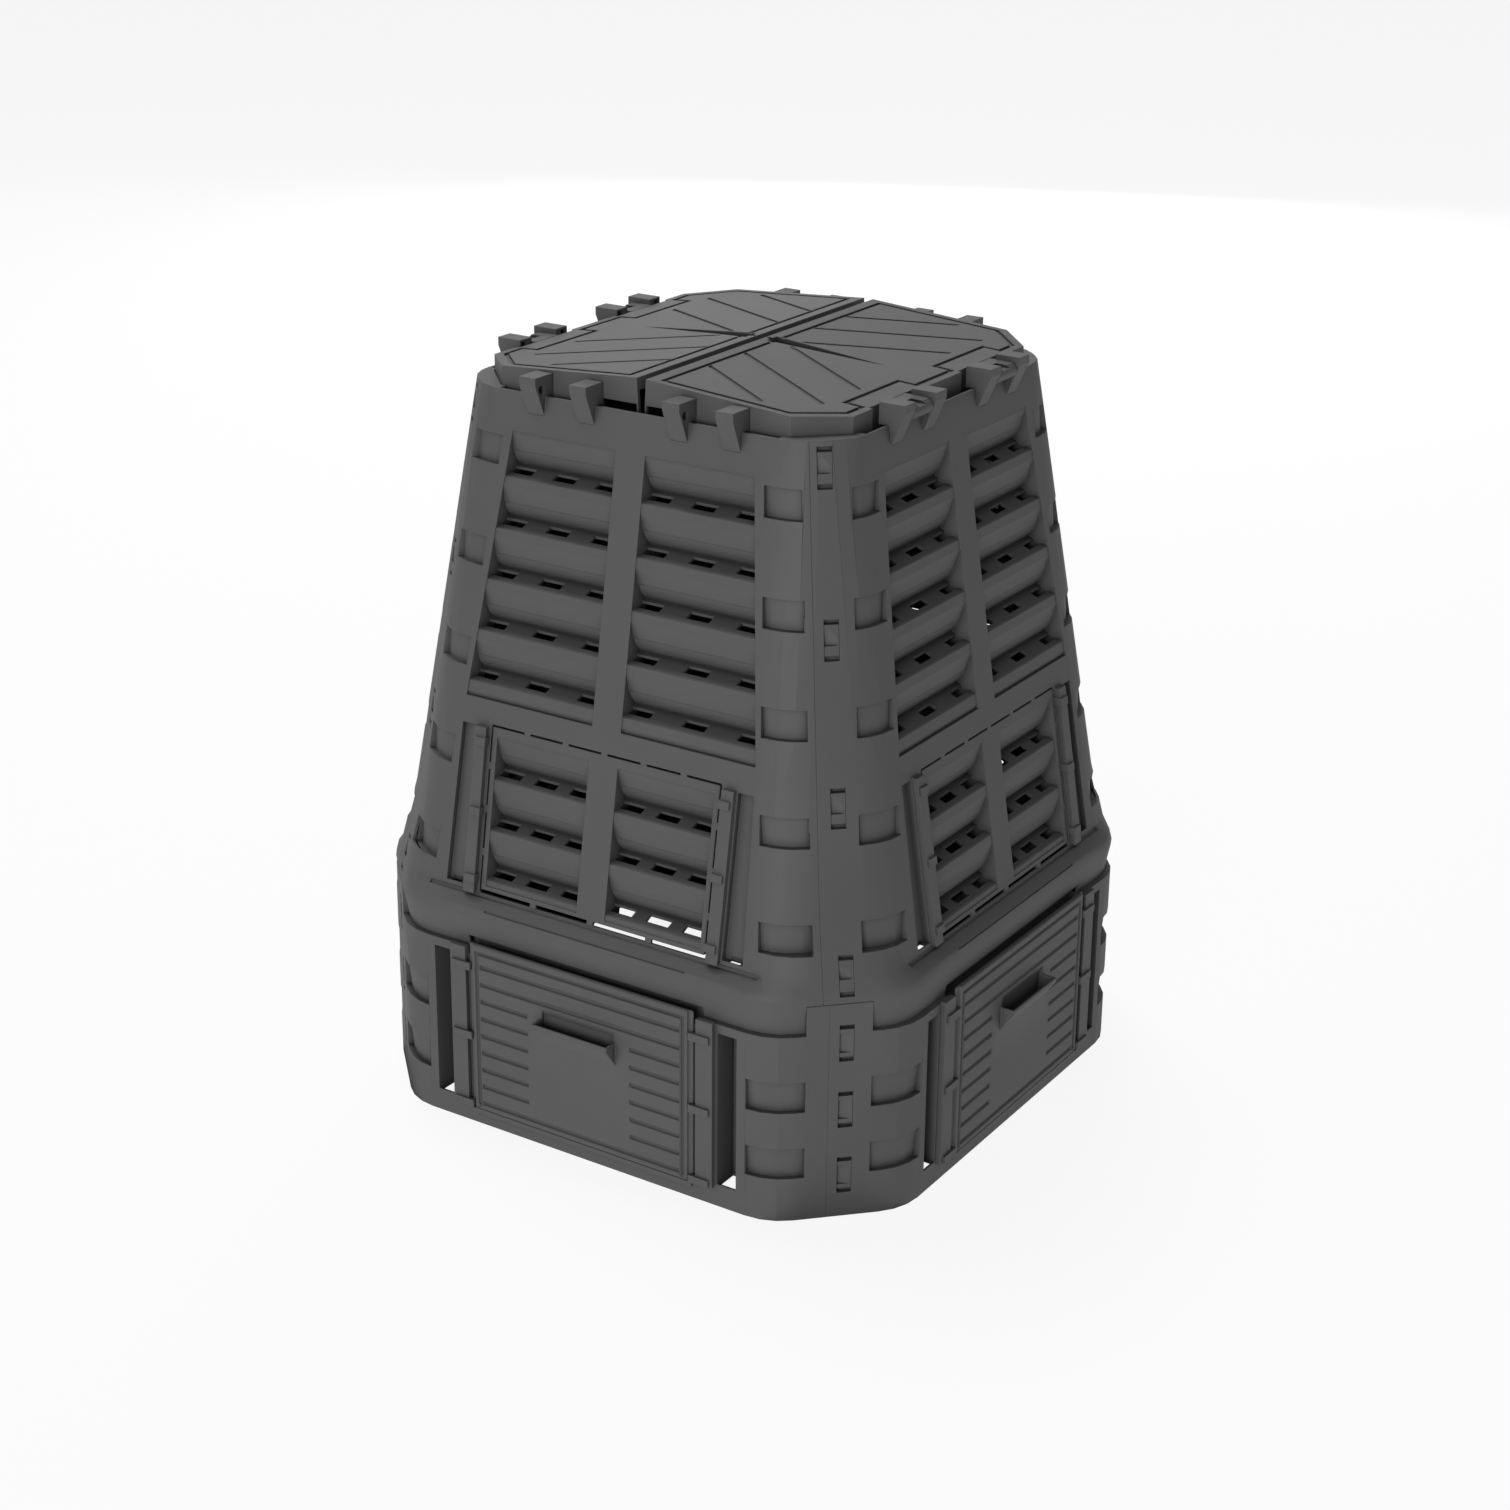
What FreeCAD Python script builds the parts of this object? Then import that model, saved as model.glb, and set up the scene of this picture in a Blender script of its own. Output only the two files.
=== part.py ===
"""Square garden compost bin with a two-leaf lid.

The bin stands on a base ring of four vertical walls. Each base wall has a door that slides up. Four
tapered walls with louvred windows and a knock-out hatch stand on the ring. All walls meet on the
diagonals, in the middle of a bevelled corner, where snap tongues of one wall show in clip windows of
the next. The lid leaves hinge between the claws on the right and left rims and meet in a low ridge.

Frame: origin in the middle of the bin on the ground, +Z up, front wall towards -Y. Lengths are in mm.
"""
import FreeCAD, Part
import math
import os
import re
import Sketcher
from FreeCAD import Placement, Rotation, Vector

SIZES = {
    # plan of the base ring
    "base_half": 392, "base_corner": 272, "blend_radius": 78, "blend_facets": 3, "skin": 4,
    "ring_top": 245, "post_top": 283, "post_margin": 20, "seam_gap": 0.15, "base_seam": 12.5,
    # tapered walls
    "foot_level": 312, "foot_half": 372.5, "foot_corner": 268, "flare_level": 390,
    "rim_level": 930, "rim_half": 272.5, "rim_corner": 225, "rim_blend": 66, "upper_seam": 20,
    # shoulder band over the base ring
    "band_low_half": 384, "band_half": 391.5, "band_level": 285, "band_top_half": 388,
    "band_top": 299, "band_line": 1.2, "band_line_height": 3, "band_line_half": 150, "band_clear": 13,
    "crease_low": 308, "crease_top": 312.5, "crease_half": 245, "crease_depth": 1.6,
    # scoops beside the corners
    "scoop_floor": 7.5, "scoop_roof": 4, "scoop_height": 36, "scoop_low": 340, "scoop_pitch": 125,
    "scoop_start": 240, "scoop_lean": 0.1, "scoop_end": 29, "base_scoop_low": 57,
    "base_scoop_pitch": 88, "base_scoop_height": 40, "base_scoop_end": 40, "scoop_skin": 3,
    # corner clips
    "clip_width": 18, "clip_height": 48, "clip_low": 315, "clip_pitch": 195, "clip_lean": 0.02,
    "base_clip_low": 56, "base_clip_pitch": 88, "tongue_height": 36, "tongue_inset": 0.4,
    "tongue_start": 0.4, "tongue_play": 0.4, "tongue_back": 10.5, "tongue_skin": 2.5,
    "tongue_root": 10, "dent_height": 25, "dent_depth": 4, "dent_width": 15,
    # louvred windows
    "mullion_half": 21, "window_low": 554, "window_top": 883, "window_low_half": 211.8,
    "window_top_half": 172.6, "pan_depth": 32, "pan_skin": 3, "pan_sink": 5, "hatch_pan_sink": 2,
    "slat_pitch": 63.7, "first_lip": 891.3, "slat_depth": 27, "slat_back": 4, "slot_width": 32,
    "slot_depth": 12,
    # knock-out hatch
    "hatch_low": 315, "hatch_top": 524, "hatch_half": 168, "slit": 2.4, "low_slit": 5.4, "bridge": 9,
    "hatch_window_low": 323, "hatch_window_top": 511, "hatch_window_half": 160,
    "hatch_first_lip": 520.9,
    # guide rails and channels
    "rail_start": 173, "rail_end": 190, "rail_height": 7, "rail_top": 247, "knuckle": 10,
    "knuckle_height": 3, "door_play": 3.4, "upper_channel_end": 219, "upper_channel_lean": 7,
    "upper_channel_depth": 8, "channel_start": 200, "channel_end": 227, "channel_depth": 36,
    "channel_low": 30, "channel_top": 233, "drain_margin": 2,
    # gutter behind the top of each door
    "gutter_half": 176, "gutter_low": 232, "gutter_top": 262, "gutter_depth": 24,
    # rim claws
    "claw_inner": 66, "claw_outer": 139.5, "claw_width": 24, "claw_front": 293, "claw_back": 258.5,
    "claw_top": 956, "claw_shoulder": 946, "claw_tip": 907, "claw_skin": 3, "claw_floor": 936,
    "flange_level": 919, "flange": 3, "flange_lap": 5, "flange_corner": 198, "flange_blend": 44,
    "pin_level": 940, "pin_half": 281, "pin_radius": 5, "pin_clearance": 0.08, "pin_length": 8,
    # doors
    "door_half": 168, "door_low": 26, "door_top": 254, "door_back": 393.2, "door_front": 400,
    "door_flange": 3, "door_rebate": 6, "opening_half": 148, "opening_low": 40, "opening_top": 224,
    "groove_half": 150, "groove_inner": 77, "groove_low": 35.6, "groove_pitch": 23.8,
    "groove_height": 5, "groove_depth": 2.8, "frame_line": 4, "frame_top": 246, "frame_half": 157,
    "handle_half": 57, "handle_top": 182, "handle_low": 149, "handle_front": 419, "grip_skin": 3.5,
    "grip_floor": 395.6, "grip_roof": 195,
    # lid
    "lid_half": 257, "lid_corner": 205, "lid_gap": 4, "ridge_gap": 6.5, "ridge_level": 968,
    "eaves_level": 950, "skirt_low": 922.4, "lid_skin": 5, "border_half": 248, "border_groove": 6,
    "border_corner": 199, "border_jog": 23, "border_depth": 3, "seam_groove": 21, "ray_slope": 0.61,
    "ray_width": 7, "ray_depth": 2, "wedge_half": 12, "wedge_depth": 8, "wedge_end": 178,
    "keel_half": 16, "keel_end": 140, "keel_depth": 12,
    "dimple_near": 9, "dimple_far": 15, "dimple_half": 3, "notch_start": 7, "notch_end": 56,
    "notch_top": 936, "lug_half": 23, "barrel_radius": 9, "relief_edge": 252, "relief_near": 46,
    "relief_far": 162,
}

doc = FreeCAD.newDocument("CompostBin")
sheet = doc.addObject("Spreadsheet::Sheet", "Sizes")
for row, (alias, value) in enumerate(SIZES.items(), start=1):
    sheet.set("A%d" % row, alias)
    sheet.set("B%d" % row, str(value))
    sheet.setAlias("B%d" % row, alias)
doc.recompute()


def size(alias):
    """A driving dimension, read back from the sheet."""
    return float(sheet.get(alias))


def bound(text):
    """An expression on the sheet's names, such as 'door_half - 8', as the document writes it."""
    return re.sub(r"\b([a-z]\w*)\b(?!\()", r"Sizes.\1", text)


def value_of(text):
    result = sheet.evalExpression(bound(text))
    return float(getattr(result, "Value", result))


# Sketches and features

def origin_plane(body, role):
    return next(item for item in body.Origin.OriginFeatures if item.Role == role)


def polygon_sketch(body, name, role, loops, offset="0"):
    """A sketch of closed polygons whose corners are placed by expressions on the sheet's names."""
    sketch = body.newObject("Sketcher::SketchObject", name)
    sketch.AttachmentSupport = [(origin_plane(body, role), "")]
    sketch.MapMode = "FlatFace"
    sketch.setExpression("AttachmentOffset.Base.z", bound(offset))
    for loop in loops:
        corners = [Vector(value_of(across), value_of(up), 0) for across, up in loop]
        first = sketch.GeometryCount
        count = len(corners)
        for index in range(count):
            sketch.addGeometry(Part.LineSegment(corners[index], corners[(index + 1) % count]), False)
        for index in range(count):
            line = first + index
            after = first + (index + 1) % count
            sketch.addConstraint(Sketcher.Constraint("Coincident", line, 2, after, 1))
            place_corner(sketch, line, corners[index], loop[index])
    return sketch


def place_corner(sketch, line, corner, expressions):
    """Bind one corner of a polygon across and up from the sketch's origin."""
    for kind, number, text, axis in (("DistanceX", corner.x, expressions[0], -2),
                                     ("DistanceY", corner.y, expressions[1], -1)):
        if abs(number) < 1e-9:
            sketch.addConstraint(Sketcher.Constraint("PointOnObject", line, 1, axis))
            continue
        index = sketch.addConstraint(Sketcher.Constraint(kind, -1, 1, line, 1, number))
        sketch.setExpression("Constraints[%d]" % index, bound(text))


def box_loop(left, low, right, high):
    return [(left, low), (right, low), (right, high), (left, high)]


def pad(body, name, sketch, length, midplane=False, reverse=False):
    feature = body.newObject("PartDesign::Pad", name)
    feature.Profile = sketch
    feature.setExpression("Length", bound(length))
    feature.Midplane = midplane
    feature.Reversed = reverse
    body.Tip = feature
    return feature


def pocket(body, name, sketch, length=None, midplane=False, reverse=False):
    """A pocket of the given depth, or through everything both ways when no depth is given."""
    feature = body.newObject("PartDesign::Pocket", name)
    feature.Profile = sketch
    if length is None:
        feature.Type = "ThroughAll"
        feature.Midplane = True
    else:
        feature.setExpression("Length", bound(length))
        feature.Midplane = midplane
        feature.Reversed = reverse
    body.Tip = feature
    return feature


def new_body(label):
    body = doc.addObject("PartDesign::Body", label)
    body.Label = label
    return body


# Plan outlines of the walls, all for the front wall

WALL_SLOPE = (size("foot_half") - size("rim_half")) / (size("rim_level") - size("foot_level"))
CORNER_SLOPE = (size("foot_corner") - size("rim_corner")) / (size("rim_level") - size("foot_level"))


def wall_half(level):
    """Distance of the tapered wall's outer face from the axis at a level."""
    return size("foot_half") - WALL_SLOPE * (level - size("foot_level"))


def wall_corner(level):
    """Where the tapered wall's flat meets the corner bevel."""
    return size("foot_corner") - CORNER_SLOPE * (level - size("foot_level"))


def wall_blend(level):
    share = (level - size("foot_level")) / (size("rim_level") - size("foot_level"))
    return size("blend_radius") + share * (size("rim_blend") - size("blend_radius"))


def quarter(level, half, corner, radius, inset=0.0):
    """Corners of the quarter of the bin's outline that one wall closes, starting on the axis."""
    half_in = half - inset
    reach = half + corner - inset * math.sqrt(2)
    bend = radius - inset
    flat = reach - half_in - bend * math.tan(math.pi / 8)
    facets = int(size("blend_facets"))
    turns = [math.pi / 4 * step / facets for step in range(facets + 1)]
    side = [(flat + bend * math.sin(turn), half_in - bend * (1 - math.cos(turn))) for turn in turns]
    side.append((reach / 2, reach / 2))
    outline = [(0, 0)] + [(-x, y) for x, y in reversed(side)] + side
    return [Vector(x, -y, level) for x, y in outline]


def flat_face(corners):
    return Part.Face(Part.makePolygon(list(corners) + [corners[0]]))


def stack(sections, inset=0.0):
    """A solid through (level, half, corner, radius) outlines, with flat faces from one to the next."""
    return prismatoid([quarter(*section, inset) for section in sections])


def prismatoid(rings):
    faces = [flat_face(rings[0]), flat_face(rings[-1])]
    for low, high in zip(rings, rings[1:]):
        for index in range(len(low)):
            after = (index + 1) % len(low)
            if index in (0, len(low) - 1):
                faces.append(flat_face([low[index], low[after], high[after]]))
                faces.append(flat_face([low[index], high[after], high[index]]))
            else:
                faces.append(flat_face([low[index], low[after], high[after], high[index]]))
    solid = Part.Solid(Part.Shell(faces))
    if solid.Volume < 0:
        solid.reverse()
    return solid


def taper(level):
    return (level, wall_half(level), wall_corner(level), wall_blend(level))


def base_section(level):
    """Outline of the base ring."""
    return (level, size("base_half"), size("base_corner"), size("blend_radius"))


def inward(section, inset):
    """The same outline moved inwards by an inset all round."""
    level, half, corner, radius = section
    return (level, half - inset, corner + inset - inset * math.sqrt(2), radius - inset)


def flare(level, half):
    """Outline between the band and the taper, where the bevel still runs out to the base ring's."""
    low = size("band_level")
    high = size("flare_level")
    reach_low = size("base_half") + size("base_corner")
    reach_high = wall_half(high) + wall_corner(high)
    reach = reach_low + (reach_high - reach_low) * (level - low) / (high - low)
    return (level, half, reach - half, size("blend_radius"))


def slab(low, high, reach=600):
    return Part.makeBox(2 * reach, 2 * reach, high - low, Vector(-reach, -reach, low))


def corner_box(along, length, low, high, depth=60, side=-1):
    """A box square to the corner bevel, starting `along` from the diagonal towards the wall."""
    box = Part.makeBox(length, 2 * depth, high - low, Vector(along, -depth, low))
    reach = (size("base_half") + size("base_corner")) / math.sqrt(2)
    box.translate(Vector(0, -reach, 0))
    box.rotate(Vector(), Vector(0, 0, 1), -45)
    if side > 0:
        box = box.mirror(Vector(), Vector(1, 0, 0))
    return box


def both_sides(shape):
    return [shape, shape.mirror(Vector(), Vector(1, 0, 0))]


def extrude_front(points, depth=400):
    """A prism over an outline in x and z, reaching in from the front."""
    wire = Part.makePolygon([Vector(x, -500, z) for x, z in points + points[:1]])
    return Part.Face(wire).extrude(Vector(0, depth, 0))


def box_outline(half, low, high):
    return [(-half, low), (half, low), (half, high), (-half, high)]


def extrude_side(points, start, end):
    """A prism over an outline in distance from the axis and z, between two x."""
    wire = Part.makePolygon([Vector(start, -half, z) for half, z in points + points[:1]])
    return Part.Face(wire).extrude(Vector(end - start, 0, 0))


def scoop_zone(start, lean, end, low, high):
    """The region beside a corner that one scoop takes, between the wall's flat and the bevel."""
    flat = extrude_front([(start, low), (start - lean * (high - low), high), (500, high), (500, low)])
    return flat.common(corner_box(end, 300, low, high, depth=180, side=1))


def scoop(section, low, height, start, lean, end):
    """The hollow of a scoop and the block around it; the floor sinks from the roof to the ledge."""
    high = low + height
    floor = size("scoop_floor")
    roof = size("scoop_roof")
    skin = size("scoop_skin")

    def layer(bottom, low_inset, top, high_inset):
        return prismatoid([quarter(*section(bottom), low_inset), quarter(*section(top), high_inset)])

    hollow = scoop_zone(start, lean, end, low, high).cut(layer(low, floor, high, roof))
    around = scoop_zone(start - skin, lean, end - skin, low - skin, high + skin)
    rear = layer(low - skin, floor + skin, high + skin, roof + skin)
    return hollow, around.common(layer(low - skin, 1.0, high + skin, 1.0).cut(rear))


def scooped(wall, section, lows, height, start, lean, end):
    """Add the scoops of both edges to a wall."""
    for low in lows:
        hollow, block = scoop(section, low, height, start - lean * (low - lows[0]), lean, end)
        wall = wall.fuse(both_sides(block)).cut(both_sides(hollow))
    return wall


def corner_plate(section, low, high, front, back, start, end):
    """A plate along the left corner's bevel, between two insets of it and two places along it."""
    outline = []
    for level, inset in ((low, front), (high, front), (high, back), (low, back)):
        half, corner = section(level)[1:3]
        outline.append(((half + corner) / math.sqrt(2) - inset, level))
    plate = extrude_side(outline, start, end)
    plate.rotate(Vector(), Vector(0, 0, 1), -45)
    return plate


def dent(section, centre, left):
    """The finger dent of a snap tongue, deepest at its left edge."""
    half, corner = section(centre)[1:3]
    face = (half + corner) / math.sqrt(2) - size("tongue_inset")
    low = centre - size("dent_height") / 2
    plan = [(left - 1, face + 1), (left + size("dent_width"), face + 1), (left + size("dent_width"), face),
            (left + size("tongue_start"), face - size("dent_depth")),
            (left - 1, face - size("dent_depth"))]
    wedge = Part.Face(Part.makePolygon([Vector(x, -y, low) for x, y in plan + plan[:1]]))
    wedge = wedge.extrude(Vector(0, 0, size("dent_height")))
    wedge.rotate(Vector(), Vector(0, 0, 1), -45)
    return wedge


def moved_seam(wall, shift):
    """Carry the strip between the seam and the diagonal from the right edge to the left one."""
    strip = wall.common(corner_box(0, shift, -10, 960, depth=200, side=1))
    strip.rotate(Vector(), Vector(0, 0, 1), -90)
    trim = corner_box(-60, 60 + shift + size("seam_gap"), -10, 960, depth=200, side=1)
    return wall.cut(trim).fuse(strip)


def clipped(wall, section, body, shift, clips, ceiling):
    """Move the seam, cut the clip windows in the left edge and add the right edge's snap tongues."""
    wall = moved_seam(wall, shift)
    width = size("clip_width")
    reach = size("clip_height") / 2
    back = size("tongue_back")
    start = -shift - size("tongue_root")
    windows = []
    tongues = []
    for centre, left in clips:
        windows.append(corner_plate(section, centre - reach, centre + reach, -back, back - size("skin"),
                                    left, left + width))
        low = centre - reach - 3
        high = min(centre + reach + 3, ceiling)
        plate = corner_plate(section, low, high, back - size("tongue_skin"), back, start,
                             left + width + 2)
        half = size("tongue_height") / 2
        pad = corner_plate(section, centre - half, min(centre + half, ceiling), size("tongue_inset"),
                           back - 1, left + size("tongue_start"), left + width - size("tongue_play"))
        root = corner_plate(section, low, high, 0, back, start, -shift - 1)
        pad = pad.cut(dent(section, min(centre, ceiling - half), left))
        for piece in (plate, pad, root):
            piece.rotate(Vector(), Vector(0, 0, 1), 90)
        tongues += [plate, pad, root.common(body)]
    return wall.cut(windows).fuse(tongues).removeSplitter()


def leaning_slab(low, high, front, back, start=-260, end=260):
    """The layer between two insets of the tapered wall's face; a negative inset stands proud."""
    outline = [(wall_half(low) - front, low), (wall_half(high) - front, high),
               (wall_half(high) - back, high), (wall_half(low) - back, low)]
    return extrude_side(outline, start, end)


# Base ring wall

def corner_posts(low, high):
    """The regions of the corner posts of the base ring, at both ends of a wall."""
    margin = size("post_margin")
    return both_sides(corner_box(-margin, size("base_scoop_end") + margin, low, high, depth=120))


def guide_rails():
    """The rails beside the door, with knuckles that reach round its edges."""
    half = size("base_half")
    start = size("rail_start")
    end = size("channel_start") - 3
    proud = half + size("rail_height")
    crown = proud + size("knuckle_height")
    reach = size("door_back") + size("door_play")
    low = size("door_low")
    high = size("rail_top")
    pieces = [extrude_side([(half - 1, low), (proud, low), (proud, high), (half - 1, high)], start, end)]
    for level in (31, 127, 223):
        low = level - size("knuckle") / 2
        high = level + size("knuckle") / 2
        pieces.append(extrude_side([(half, low), (crown, low), (crown, high), (half, high)], start, end - 4))
        pieces.append(extrude_side([(reach, low), (crown, low), (crown, high), (reach, high)],
                                   size("door_half") - 4, start + 1))
    return [item for piece in pieces for item in both_sides(piece)]


def gutter():
    """The recess behind the top of the door and the trough around it."""
    front = 0.5 - size("base_half")
    skin = size("skin")
    reach = size("gutter_half")
    depth = size("gutter_depth")
    low = size("gutter_low")
    trough = Part.makeBox(2 * (reach + skin), depth - 0.5, size("ring_top") - low,
                          Vector(-reach - skin, front, low))
    plate = Part.makeBox(2 * (reach + skin), skin, size("gutter_top") - low,
                         Vector(-reach - skin, front + depth - 0.5 - skin, low))
    hollow = Part.makeBox(2 * reach, depth - skin + 10, size("gutter_top") - low,
                          Vector(-reach, front - 10.5, low + skin))
    return hollow, [trough, plate]


def channel(start, end, low, high, depth):
    """A deep channel beside the rail: its hollow, the box around it and its drain hole."""
    half = size("base_half")
    skin = size("skin")
    margin = size("drain_margin")
    box = Part.makeBox(end - start + 2 * skin, depth + skin, high - low + 2 * skin,
                       Vector(start - skin, 0.5 - half, low - skin))
    hollow = Part.makeBox(end - start, depth + 1, high - low, Vector(start, -half - 1, low))
    drain = Part.makeBox(end - start - 2 * margin, depth - 3 * margin, 3 * skin,
                         Vector(start + margin, 1.5 * margin - half, low - 2 * skin))
    return [hollow, drain], box


def base_wall():
    skin = size("skin")
    half = size("base_half")
    ring = size("ring_top")
    top = size("post_top")
    sections = [base_section(0), base_section(top)]
    shell = stack(sections).cut(stack([base_section(-1), base_section(top + 1)], skin))
    drop = slab(ring, top + 1).cut(corner_posts(ring, top + 2))
    opening = extrude_front(box_outline(size("opening_half"), size("opening_low"), size("opening_top")))
    ledge = [base_section(ring - skin), base_section(ring)]
    ledge = stack(ledge, 1).cut(stack(ledge, 4 * skin))
    passage = corner_plate(base_section, ring - skin - 1, ring + 1, skin + 0.5, 5 * skin,
                           -2 * size("clip_width"), size("clip_width") + 6)
    cheek = corner_box(size("base_scoop_end") - skin, skin, ring - 1, top + 1, depth=120)
    cheeks = stack(sections, 1).cut(stack([base_section(-1), base_section(top + 1)], 3 * skin))
    wall = shell.cut([drop, opening]).fuse(ledge.cut(both_sides(passage)))
    wall = wall.fuse(cheeks.common(Part.makeCompound(both_sides(cheek))))

    recess, troughs = gutter()
    hollows, box = channel(size("channel_start"), size("channel_end"), size("channel_low"),
                           size("channel_top"), size("channel_depth"))
    wall = wall.fuse(troughs + both_sides(box))
    wall = wall.cut([recess] + [item for hollow in hollows for item in both_sides(hollow)])

    low = size("door_low") - 0.3
    sill = extrude_side([(half - 1, 20), (size("door_front"), 20), (size("door_front"), low),
                         (half - 1, low)], -size("door_half"), size("door_half"))
    wall = wall.fuse(guide_rails() + [sill])

    lows = [size("base_scoop_low") + size("base_scoop_pitch") * index for index in range(2)]
    wall = scooped(wall, base_section, lows, size("base_scoop_height"), size("scoop_start"), 0.0,
                   size("base_scoop_end"))
    clips = [(size("base_clip_low") + size("base_clip_pitch") * index, 0) for index in range(3)]
    return clipped(wall, base_section, stack(sections, 1), size("base_seam"), clips, top - 1)


# Tapered wall with its louvres and hatch

def louvre(first_lip, count):
    """The sawtooth sheet of a louvred window: shelves that rise inwards and slats that curve inwards."""
    pitch = size("slat_pitch")
    deep = size("slat_depth")
    thick = size("slat_back")
    front = []
    back = []
    for index in range(count):
        lip = first_lip - index * pitch
        front += [(deep, lip + 10), (1.5, lip), (1.5, lip - 12), (9, lip - 32)]
        back += [(deep + thick, lip + 9), (1.5 + thick, lip - 4)]
    end = first_lip - count * pitch
    front.append((deep, end + 10))
    back.append((deep + thick, end + 9))
    return extrude_side([(wall_half(level) - depth, level) for depth, level in front + back[::-1]],
                        -260, 260)


def window_outline(low, high, low_half, high_half, grow=0.0, sink=0.0):
    """Corners of the right-hand window, grown all round and sunk at its bottom edge."""
    lean = (low_half - high_half) / (high - low)
    start = size("mullion_half") - grow
    drop = grow + sink
    return [(start, low - drop), (low_half + grow + lean * drop, low - drop),
            (high_half + grow - lean * grow, high + grow), (start, high + grow)]


def louvred_window(sides, first_lip, count, sink):
    """The opening to cut in the wall, and the pan with its slats, of one window and its twin."""
    low, high, low_half, high_half = sides
    opening = extrude_front(window_outline(*sides))
    inside = extrude_front(window_outline(*sides, sink=sink))
    grown = extrude_front(window_outline(*sides, grow=size("pan_skin"), sink=sink))
    pan = grown.cut(inside).common(leaning_slab(low - 10, high + 10, 0.5, size("pan_depth")))
    slats = louvre(first_lip, count).common(inside)
    slots = []
    width = size("slot_width")
    for index in range(1, count):
        lip = first_lip - index * size("slat_pitch")
        edge = low_half + (high_half - low_half) * (lip - low) / (high - low)
        room = edge - size("mullion_half") - width - 1
        for place in range(3):
            corner = Vector(size("mullion_half") + 0.5 + place * room / 2, 10 - wall_half(lip), lip - 7)
            slots.append(Part.makeBox(width, size("slot_depth"), 20, corner))
    return opening, pan.fuse(slats.cut(slots))


def slit_row(half, level, thick, count):
    """A level row of slits with bridges between them."""
    bridge = size("bridge")
    step = (2 * half + bridge) / count
    row = []
    for index in range(count):
        x = index * step - half
        row.append(extrude_front([(x, level - thick / 2), (x + step - bridge, level - thick / 2),
                                  (x + step - bridge, level + thick / 2), (x, level + thick / 2)]))
    return row


def hatch_slits():
    """The through slits round the hatch, broken by bridges."""
    half = size("hatch_half")
    low = size("hatch_low")
    high = size("hatch_top")
    thick = size("slit") / 2
    bridge = size("bridge")
    slits = slit_row(half, high, size("slit"), 6) + slit_row(half, low, size("low_slit"), 4)
    step = (high - low + bridge) / 4
    for index in range(4):
        z = low + index * step
        side = extrude_front([(half - thick, z), (half + thick, z), (half + thick, z + step - bridge),
                              (half - thick, z + step - bridge)])
        slits += both_sides(side)
    return slits


def claw(centre):
    """A bracket on the rim: flat top, leaning front and a point down the wall."""
    front = size("claw_front")
    back = size("claw_back")
    tip = size("claw_tip")
    rim = size("rim_level")
    outline = [(back, size("claw_top")), (front, size("claw_top")), (front, size("claw_shoulder")),
               (wall_half(tip) + 0.2, tip), (wall_half(tip) - 2, tip), (size("rim_half") - 3, rim - 0.5),
               (back, rim - 0.5)]
    start = centre - size("claw_width") / 2
    return extrude_side(outline, start, start + size("claw_width"))


def claw_hollow(centre, towards):
    """The moulded-out half of a claw, open to the lid, away from the bore for the lid's pin."""
    skin = size("claw_skin")
    cheek = centre - towards * (size("claw_width") / 2 - skin)
    web = centre + towards * (size("claw_width") / 2 - size("pin_length") - skin)
    outline = [(size("claw_back") - 1, size("claw_floor")),
               (size("claw_front") - 2 * skin, size("claw_floor")),
               (size("claw_front") - skin, size("claw_shoulder")),
               (size("claw_front") - skin, size("claw_top") - skin),
               (size("claw_back") - 1, size("claw_top") - skin)]
    return extrude_side(outline, min(cheek, web), max(cheek, web))


def hatch_guides():
    """The rails and channels beside the hatch: what is added to the wall and what is cut."""
    low = size("foot_level") + 6
    top = size("hatch_top") - 4
    rail = size("rail_end")
    start = rail + 2
    end = size("upper_channel_end")
    lean = size("upper_channel_lean")
    skin = 3
    depth = size("upper_channel_depth")
    hollow = [(start, low), (end + 2, low), (end + 2 - lean, top), (start, top)]
    around = [(start - skin, low - skin), (end + 2 + skin, low - skin), (end + 2 + skin - lean, top + skin),
              (start - skin, top + skin)]
    block = extrude_front(around).common(leaning_slab(low - 9, top + 9, 0.5, depth + skin))
    hollow = extrude_front(hollow).common(leaning_slab(low - 9, top + 9, -5, depth))
    drain = Part.makeBox(16, depth, 16, Vector(start + 8, 2 - wall_half(low), low - 12))
    height = size("rail_height")
    added = [block, leaning_slab(size("foot_level") + 1, top + 2, 1, -height, size("rail_start"), rail)]
    for level in (332, 417, 505):
        reach = size("knuckle") / 2
        added.append(leaning_slab(level - reach, level + reach, 1, -height - size("knuckle_height"),
                                  size("rail_start") - 2, rail - 3))
    return ([item for piece in added for item in both_sides(piece)],
            both_sides(hollow) + both_sides(drain))


def rim_flange():
    """The ledge inside the rim that the lid's skirt closes on."""
    level = size("flange_level")
    top = level + size("flange")
    inner = size("lid_half") - size("flange_lap")
    plan = (inner, size("flange_corner"), size("flange_blend"))
    ring = stack([taper(level), taper(top)], size("skin") - 0.5)
    return ring.cut(stack([(level - 1, *plan), (top + 1, *plan)]))


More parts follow.
